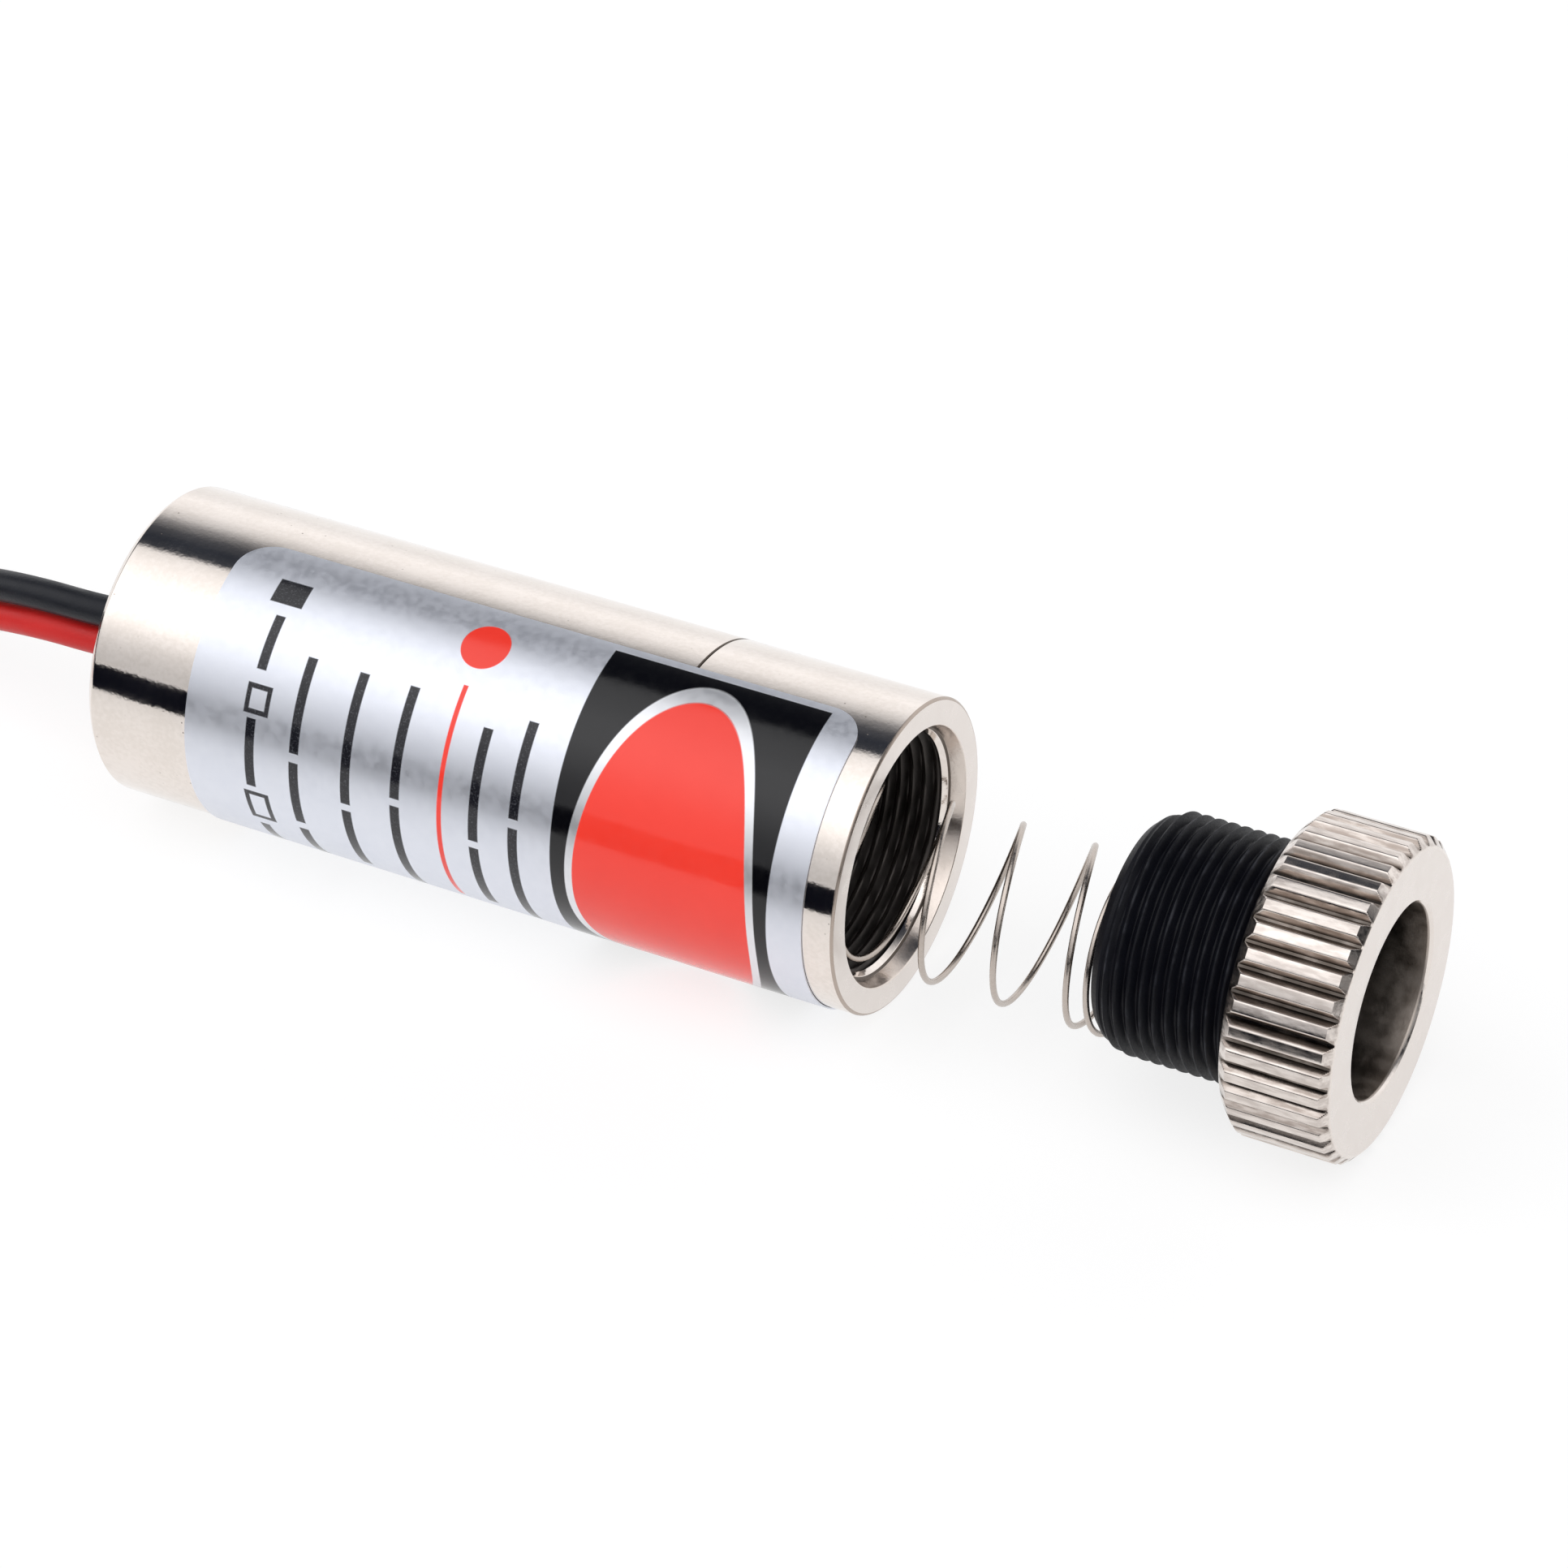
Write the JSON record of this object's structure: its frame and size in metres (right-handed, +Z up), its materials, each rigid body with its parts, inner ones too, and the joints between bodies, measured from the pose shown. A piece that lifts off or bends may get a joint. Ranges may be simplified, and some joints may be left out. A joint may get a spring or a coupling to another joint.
{
  "type": "laser diode module",
  "caption": "Cylindrical laser diode module with a knurled focusing lens cap drawn out on its spring, a wrapped label and supply leads.",
  "frame": {"origin": "on the optical axis, in the plane of the barrel's front face", "axes": "+X along the beam, +Z up with the module lying on its side"},
  "size_m": [0.0839, 0.0176, 0.0121],
  "materials": {
    "nickel": "bright nickel plate over turned brass",
    "label_foil": "satin silver foil",
    "black_metal": "matt black anodised",
    "optical_glass": "polished",
    "spring_wire": "bright drawn wire",
    "gold_plate": "gold flash over steel and copper",
    "can_steel": "nickel plated cap",
    "laser_crystal": "cleaved facets",
    "board_green": "solder mask",
    "trimmer_body": "moulded",
    "black_epoxy": "moulded epoxy",
    "capacitor_tan": "fired ceramic",
    "resistor_black": "glazed top",
    "solder": "tin solder",
    "bush_black": "moulded",
    "red_sleeving": "soft insulation",
    "black_sleeving": "soft insulation",
    "tie_nylon": "moulded nylon"
  },
  "bodies": {
    "housing": {"front_barrel": "nickel", "rear_sleeve": "nickel", "label": "label_foil", "diode_stem": "gold_plate", "diode_can": "can_steel", "diode_window": "optical_glass", "diode_post": "gold_plate", "laser_chip": "laser_crystal", "diode_pins": "gold_plate", "driver_board": "board_green", "trim_pot": "trimmer_body", "drive_transistor": "black_epoxy", "chip_capacitor": "capacitor_tan", "chip_resistors": "resistor_black", "solder_joints": "solder", "conductor_ends": "solder", "inner_lead_red": "red_sleeving", "inner_lead_black": "black_sleeving", "cable_bush": "bush_black", "lead_red": "red_sleeving", "lead_black": "black_sleeving", "lead_coil": "black_sleeving", "lead_tie": "tie_nylon", "tinned_tips": "solder"},
    "spring": {"spring": "spring_wire"},
    "lens_cap": {"focus_ring": "nickel", "lens_holder": "black_metal", "lens": "optical_glass"}
  },
  "joints": [
    {"name": "cap_slide", "type": "slide", "parent": "housing", "child": "spring", "axis": [-1, 0, 0], "range_m": [0, 0.0146], "stiffness_N_per_m": 38, "deforming": ["spring"]},
    {"name": "focus_turn", "type": "hinge", "parent": "spring", "child": "lens_cap", "pos_m": [0, 0, 0], "axis": [1, 0, 0], "continuous": true}
  ]
}
